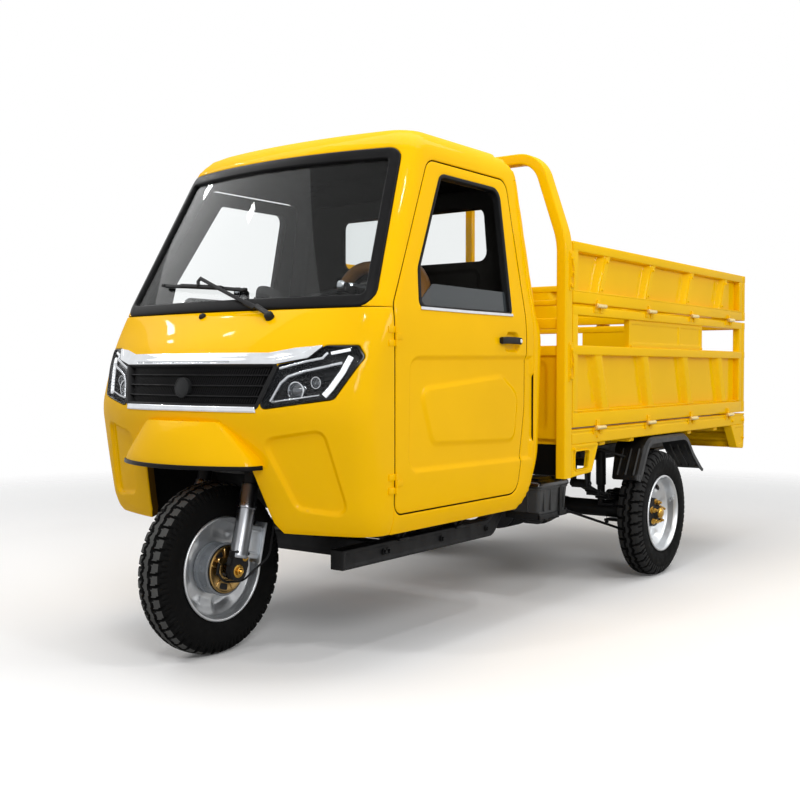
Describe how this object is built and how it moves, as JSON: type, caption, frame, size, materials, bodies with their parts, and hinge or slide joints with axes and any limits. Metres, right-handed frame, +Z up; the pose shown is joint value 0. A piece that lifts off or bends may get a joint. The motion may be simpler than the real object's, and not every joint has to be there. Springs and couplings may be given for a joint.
{
  "type": "electric cargo tricycle",
  "caption": "Three-wheeled electric cargo vehicle with a closed cab, steered front wheel, hinged doors and a load bed with two tiers of folding boards.",
  "frame": {"origin": "floor level below the middle of the bounding box", "axes": "+Z up, front of the vehicle towards -Y, +X towards the vehicle's left"},
  "size_m": [1.324, 3.4425, 1.716],
  "materials": {
    "yellow_paint": "glossy",
    "bed_paint": "semi-gloss",
    "floor_plate": "satin",
    "black_plastic": "matte",
    "lamp_housing": "gloss",
    "tinted_glass": "gloss",
    "clear_lens": "gloss",
    "red_lens": "gloss",
    "seal_rubber": "satin",
    "chrome": "polished",
    "seat_leather": "satin",
    "chassis_black": "satin",
    "rim_silver": "satin",
    "tyre": "matte"
  },
  "bodies": {
    "vehicle": {"cab_nose": "yellow_paint", "cab_sides": "yellow_paint", "cab_roof": "yellow_paint", "cab_rear_wall": "yellow_paint", "cab_floor": "floor_plate", "wheel_well": "black_plastic", "front_mudguard": "yellow_paint", "windshield": "tinted_glass", "windshield_seal": "seal_rubber", "rear_window": "tinted_glass", "grille": "black_plastic", "chrome_trim": "chrome", "headlamps": "lamp_housing", "headlamp_lenses": "clear_lens", "wiper": "black_plastic", "dashboard": "black_plastic", "seat": "seat_leather", "chassis_frame": "chassis_black", "steering_head": "chassis_black", "rear_axle": "chassis_black", "leaf_springs": "chassis_black", "battery_box": "chassis_black", "rear_mudguards": "black_plastic", "bed_frame": "bed_paint", "bed_floor": "floor_plate", "headboard": "bed_paint", "tail_lamps": "red_lens"},
    "steering": {"fork": "chassis_black", "handlebar": "chassis_black"},
    "front_wheel": {"front_rim": "rim_silver", "front_tyre": "tyre"},
    "rear_wheel_left": {"rear_rim_left": "rim_silver", "rear_tyre_left": "tyre"},
    "rear_wheel_right": {"rear_rim_right": "rim_silver", "rear_tyre_right": "tyre"},
    "door_left": {"door_left": "yellow_paint", "door_glass_left": "tinted_glass", "door_handle_left": "black_plastic"},
    "door_right": {"door_right": "yellow_paint", "door_glass_right": "tinted_glass", "door_handle_right": "black_plastic"},
    "lower_board_left": {"lower_board_left": "bed_paint"},
    "lower_board_right": {"lower_board_right": "bed_paint"},
    "upper_board_left": {"upper_board_left": "bed_paint"},
    "upper_board_right": {"upper_board_right": "bed_paint"},
    "lower_tailgate": {"lower_tailgate": "bed_paint"},
    "upper_tailgate": {"upper_tailgate": "bed_paint"}
  },
  "joints": [
    {"name": "steering", "type": "hinge", "parent": "vehicle", "child": "steering", "pos_m": [0, -1.4177, 0.26476], "axis": [0, 0.2419, 0.9703], "range_deg": [-38, 38]},
    {"name": "front_wheel_spin", "type": "hinge", "parent": "steering", "child": "front_wheel", "pos_m": [0, -1.44875, 0.2725], "axis": [1, 0, 0], "continuous": true},
    {"name": "rear_wheel_left_spin", "type": "hinge", "parent": "vehicle", "child": "rear_wheel_left", "pos_m": [0.598, 0.61925, 0.2725], "axis": [1, 0, 0], "continuous": true},
    {"name": "rear_wheel_right_spin", "type": "hinge", "parent": "vehicle", "child": "rear_wheel_right", "pos_m": [-0.598, 0.61925, 0.2725], "axis": [1, 0, 0], "continuous": true},
    {"name": "door_left_hinge", "type": "hinge", "parent": "vehicle", "child": "door_left", "pos_m": [0.596, -1.26675, 0.7], "axis": [0, 0, -1], "range_deg": [0, 68]},
    {"name": "door_right_hinge", "type": "hinge", "parent": "vehicle", "child": "door_right", "pos_m": [-0.596, -1.26675, 0.7], "axis": [0, 0, 1], "range_deg": [0, 68]},
    {"name": "lower_board_left_hinge", "type": "hinge", "parent": "vehicle", "child": "lower_board_left", "pos_m": [0.654, 0.71875, 0.676], "axis": [0, 1, 0], "range_deg": [0, 150]},
    {"name": "upper_board_left_hinge", "type": "hinge", "parent": "lower_board_left", "child": "upper_board_left", "pos_m": [0.654, 0.71875, 1.146], "axis": [0, -1, 0], "range_deg": [-175, 0]},
    {"name": "lower_board_right_hinge", "type": "hinge", "parent": "vehicle", "child": "lower_board_right", "pos_m": [-0.654, 0.71875, 0.676], "axis": [0, -1, 0], "range_deg": [0, 150]},
    {"name": "upper_board_right_hinge", "type": "hinge", "parent": "lower_board_right", "child": "upper_board_right", "pos_m": [-0.654, 0.71875, 1.146], "axis": [0, 1, 0], "range_deg": [-175, 0]},
    {"name": "lower_tailgate_hinge", "type": "hinge", "parent": "vehicle", "child": "lower_tailgate", "pos_m": [0, 1.71325, 0.676], "axis": [-1, 0, 0], "range_deg": [0, 150]},
    {"name": "upper_tailgate_hinge", "type": "hinge", "parent": "lower_tailgate", "child": "upper_tailgate", "pos_m": [0, 1.71325, 1.146], "axis": [1, 0, 0], "range_deg": [-175, 0]}
  ]
}
